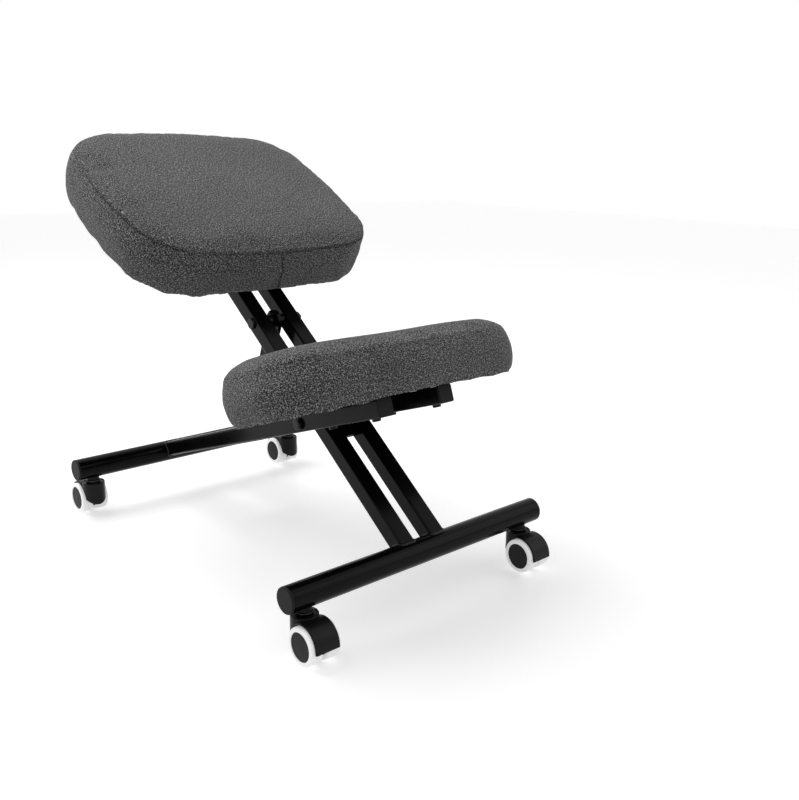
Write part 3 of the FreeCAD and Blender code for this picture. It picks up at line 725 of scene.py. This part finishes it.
SEAT_SLACK = [(178.0, 50.0, -0.3, 1.2, 0.0110), (148.0, 22.0, -0.3, 1.2, 0.0060),
              (-142.0, 24.0, -0.3, 0.85, 0.0070), (-41.0, 14.0, 0.7, 1.6, 0.0045),
              (-60.0, 30.0, -0.3, 0.4, 0.002), (30.0, 45.0, 0.6, 2.0, -0.0022)]
KNEE_SLACK = [(-150.0, 26.0, -0.3, 0.8, 0.0060), (-20.0, 30.0, -0.3, 1.1, 0.0025)]
cushion("seat_pad", PAD_SIZES["seat"], SEAT_FRAME, "seat_frame", seed=3, hem_drop=0.0055,
        boxing_seams=[(0.004, -1.0), (0.02, 1.0)], cap=0.004,
        side_creases=0.00038, slack=SEAT_SLACK)
cushion("knee_pad", PAD_SIZES["knee"], KNEE_FRAME, "knee_frame", seed=11, hem_drop=0.0032,
        boxing_seams=[(-0.02, 1.0)], cap=0.005,
        side_creases=0.00050, slack=KNEE_SLACK)


# Staples that hold the covers under the boards

STAPLE_SIZE = (0.0105, 0.0012, 0.0006)
STAPLE_PITCH = 0.034
STAPLE_INSET = 0.026


def staples(name, pad, place, body, clear_x):
    """A row of flat wire staples round the underside, left out where the arms are."""
    edge = pad_outline(pad, STAPLE_INSET)
    step = np.linalg.norm(np.roll(edge, -1, 0) - edge, axis=1)
    run = np.concatenate(((0.0,), np.cumsum(step)))
    made = []
    for at in np.arange(STAPLE_PITCH / 2, run[-1], STAPLE_PITCH):
        i = int(np.searchsorted(run, at)) - 1
        here = Vector(edge[i])
        ahead = Vector(edge[(i + 1) % len(edge)]) - here
        if abs(abs(here.x) - ARM_X) < clear_x:
            continue
        turn = math.atan2(ahead.y, ahead.x)
        wire = primitive("cube", "staple", size=1.0, rotation=(0.0, 0.0, turn), scale=STAPLE_SIZE,
                         location=(here.x, here.y, -COVER - 0.0003))
        made.append(settle(wire))
    obj = join(made, name)
    obj.data.transform(place)
    modify(obj, "BEVEL", width=0.0002, segments=2)
    return dress(obj, STAPLE, body)


staples("seat_staples", PAD_SIZES["seat"], SEAT_FRAME, "seat_frame", 0.0)
staples("knee_staples", PAD_SIZES["knee"], KNEE_FRAME, "knee_frame", 0.022)


# Weld beads

BEAD_RADIUS = 0.0021
BEAD_PITCH = 0.0032
BEAD_SIDES = 8


def bead(name, path):
    """A weld bead round a closed path, with the scallops of a hand-laid weld."""
    mesh = bpy.data.meshes.new(name)
    work = bmesh.new()
    count = len(path)
    rings = []
    run = 0.0
    for i, point in enumerate(path):
        after = path[(i + 1) % count]
        ahead = (after - path[i - 1]).normalized()
        side = ahead.orthogonal() if i == 0 else previous - ahead * previous.dot(ahead)
        previous = side = side.normalized()
        up = ahead.cross(side)
        size = BEAD_RADIUS * (0.9 + 0.16 * abs(math.sin(math.pi * run / BEAD_PITCH)))
        rings.append([work.verts.new(point + size * (math.cos(a) * side + math.sin(a) * up))
                      for a in (2 * math.pi * k / BEAD_SIDES for k in range(BEAD_SIDES))])
        run += (after - point).length
    for low, high in zip(rings, rings[1:] + rings[:1]):
        shift = 0
        if high is rings[0]:
            shift = min(range(BEAD_SIDES), key=lambda s: (low[0].co - high[s].co).length)
        for k in range(BEAD_SIDES):
            n = (k + 1) % BEAD_SIDES
            work.faces.new((low[k], low[n], high[(n + shift) % BEAD_SIDES],
                            high[(k + shift) % BEAD_SIDES]))
    bmesh.ops.recalc_face_normals(work, faces=work.faces)
    work.to_mesh(mesh)
    work.free()
    obj = bpy.data.objects.new(name, mesh)
    bpy.context.scene.collection.objects.link(obj)
    smooth(obj, 80.0)
    return obj


STEPS_PER_FACE = 10


def tube_outline(half, corner):
    """Points round a square tube's section."""
    points = []
    flat = half - corner
    for quarter in range(4):
        turn = Matrix.Rotation(quarter * math.pi / 2, 2)
        for i in range(5):
            a = math.pi / 2 * i / 4
            points.append(turn @ Vector((flat + corner * math.cos(a), flat + corner * math.sin(a))))
        for i in range(1, STEPS_PER_FACE):
            points.append(turn @ Vector((flat - 2 * flat * i / STEPS_PER_FACE, half)))
    return points


def foot_path(x, y_axis, angle):
    """Where a sloping square tube meets a round bar."""
    forward = Vector((0, math.cos(angle), math.sin(angle)))
    up = Vector((0, -forward.z, forward.y))
    if forward.y < 0:
        up = -up
    path = []
    for across, high in tube_outline(TUBE / 2, TUBE_CORNER):
        offset = high + TUBE_LIFT
        along = math.sqrt(max(BAR_RADIUS ** 2 - offset ** 2, 0.0))
        centre = Vector((x + across, y_axis, BAR_HEIGHT))
        path.append(centre + up * offset + forward * (along + 0.0004))
    return path


beads_seat = []
beads_knee = []
for side in (-1, 1):
    beads_seat.append(bead("foot_bead", foot_path(side * POST_X, FRONT_Y, POST_ANGLE)))
    beads_knee.append(bead("arm_bead", foot_path(side * ARM_X, REAR_Y, math.pi - ARM_ANGLE)))
dress(join(beads_seat, "post_weld_beads"), WELD, "seat_frame")
dress(join(beads_knee, "arm_weld_beads"), WELD, "knee_frame")


# Room, light and camera

PHOTO_SIZE = (799, 800)
FOCAL_PIXELS = 926.10
CENTRE_PIXEL = (428.90, 383.35)
CAMERA_YAW = math.radians(43.40)
CAMERA_PITCH = math.radians(14.257)
CAMERA_ROLL = math.radians(-1.143)
CAMERA_FROM_FRONT_BAR = Vector((-0.79495, -0.84632, 0.60828))
FLOOR_GREY = 0.86
FLOOR_GLOW = 0.42
LIGHT_TARGET = (0.0, 0.0, 0.3)
KEY_LIGHT = {"place": (-0.6, 1.2, 2.4), "size": 1.8, "power": 40.0}
FILL_LIGHT = {"place": (1.8, -1.6, 1.5), "size": 1.6, "power": 6.0}
ROOM_LIGHT = 0.46


def camera():
    """The camera where the photograph was taken."""
    data = bpy.data.cameras.new("camera")
    obj = bpy.data.objects.new("camera", data)
    bpy.context.scene.collection.objects.link(obj)
    data.sensor_width = 36.0
    data.lens = FOCAL_PIXELS / max(PHOTO_SIZE) * data.sensor_width
    data.shift_x = (PHOTO_SIZE[0] / 2 - CENTRE_PIXEL[0]) / max(PHOTO_SIZE)
    data.shift_y = (CENTRE_PIXEL[1] - PHOTO_SIZE[1] / 2) / max(PHOTO_SIZE)
    data.clip_start = 0.01
    level = math.cos(CAMERA_PITCH)
    ahead = Vector((math.sin(CAMERA_YAW) * level, math.cos(CAMERA_YAW) * level,
                    -math.sin(CAMERA_PITCH)))
    right = Vector((math.cos(CAMERA_YAW), -math.sin(CAMERA_YAW), 0.0))
    down = ahead.cross(right)
    turned_right = right * math.cos(CAMERA_ROLL) + down * math.sin(CAMERA_ROLL)
    turned_down = down * math.cos(CAMERA_ROLL) - right * math.sin(CAMERA_ROLL)
    place = CAMERA_FROM_FRONT_BAR + Vector((0.0, FRONT_Y, 0.0))
    matrix = Matrix.Identity(4)
    for column, axis in enumerate((turned_right, -turned_down, -ahead)):
        for row in range(3):
            matrix[row][column] = axis[row]
    matrix.translation = place
    obj.matrix_world = matrix
    bpy.context.scene.camera = obj


def area_light(name, place, size, power):
    """A soft square lamp that looks at the chair."""
    data = bpy.data.lights.new(name, "AREA")
    data.shape = "RECTANGLE"
    data.size = data.size_y = size
    data.energy = power
    obj = bpy.data.objects.new(name, data)
    bpy.context.scene.collection.objects.link(obj)
    obj.location = place
    away = Vector(LIGHT_TARGET) - Vector(place)
    obj.rotation_euler = away.to_track_quat("-Z", "Y").to_euler()


def background_rays(tree):
    """One for rays that show the background, straight or by gloss or glass, else nought."""
    path = tree.nodes.new("ShaderNodeLightPath")
    seen = path.outputs["Is Camera Ray"]
    for ray in ("Is Glossy Ray", "Is Transmission Ray"):
        either = tree.nodes.new("ShaderNodeMath")
        either.operation = "MAXIMUM"
        tree.links.new(seen, either.inputs[0])
        tree.links.new(path.outputs[ray], either.inputs[1])
        seen = either.outputs[0]
    return seen


def room():
    """A plain pale floor in a white room."""
    floor = primitive("plane", "floor", size=14.0, location=(0.0, 0.0, 0.0))
    settle(floor)
    material = bpy.data.materials.new("pale_floor")
    material.use_nodes = True
    tree = material.node_tree
    shader = tree.nodes["Principled BSDF"]
    shader.inputs["Base Color"].default_value = (FLOOR_GREY, FLOOR_GREY, FLOOR_GREY, 1.0)
    shader.inputs["Roughness"].default_value = 0.42
    shader.inputs["Specular IOR Level"].default_value = 0.3
    emission = tree.nodes.new("ShaderNodeEmission")
    glow = tree.nodes.new("ShaderNodeMath")
    glow.operation = "MULTIPLY"
    glow.inputs[1].default_value = FLOOR_GLOW
    tree.links.new(background_rays(tree), glow.inputs[0])
    tree.links.new(glow.outputs[0], emission.inputs["Strength"])
    add = tree.nodes.new("ShaderNodeAddShader")
    tree.links.new(shader.outputs[0], add.inputs[0])
    tree.links.new(emission.outputs[0], add.inputs[1])
    tree.links.new(add.outputs[0], tree.nodes["Material Output"].inputs["Surface"])
    floor.data.materials.append(material)
    world = bpy.data.worlds.new("white_room")
    bpy.context.scene.world = world
    world.use_nodes = True
    sky = world.node_tree
    background = sky.nodes["Background"]
    background.inputs["Color"].default_value = (1.0, 1.0, 1.0, 1.0)
    level = sky.nodes.new("ShaderNodeMix")
    level.data_type = "FLOAT"
    level.inputs[2].default_value = ROOM_LIGHT
    level.inputs[3].default_value = 1.0
    sky.links.new(background_rays(sky), level.inputs[0])
    sky.links.new(level.outputs[0], background.inputs["Strength"])


camera()
room()
area_light("key_light", **KEY_LIGHT)
area_light("fill_light", **FILL_LIGHT)
bpy.context.scene.view_settings.view_transform = "Standard"
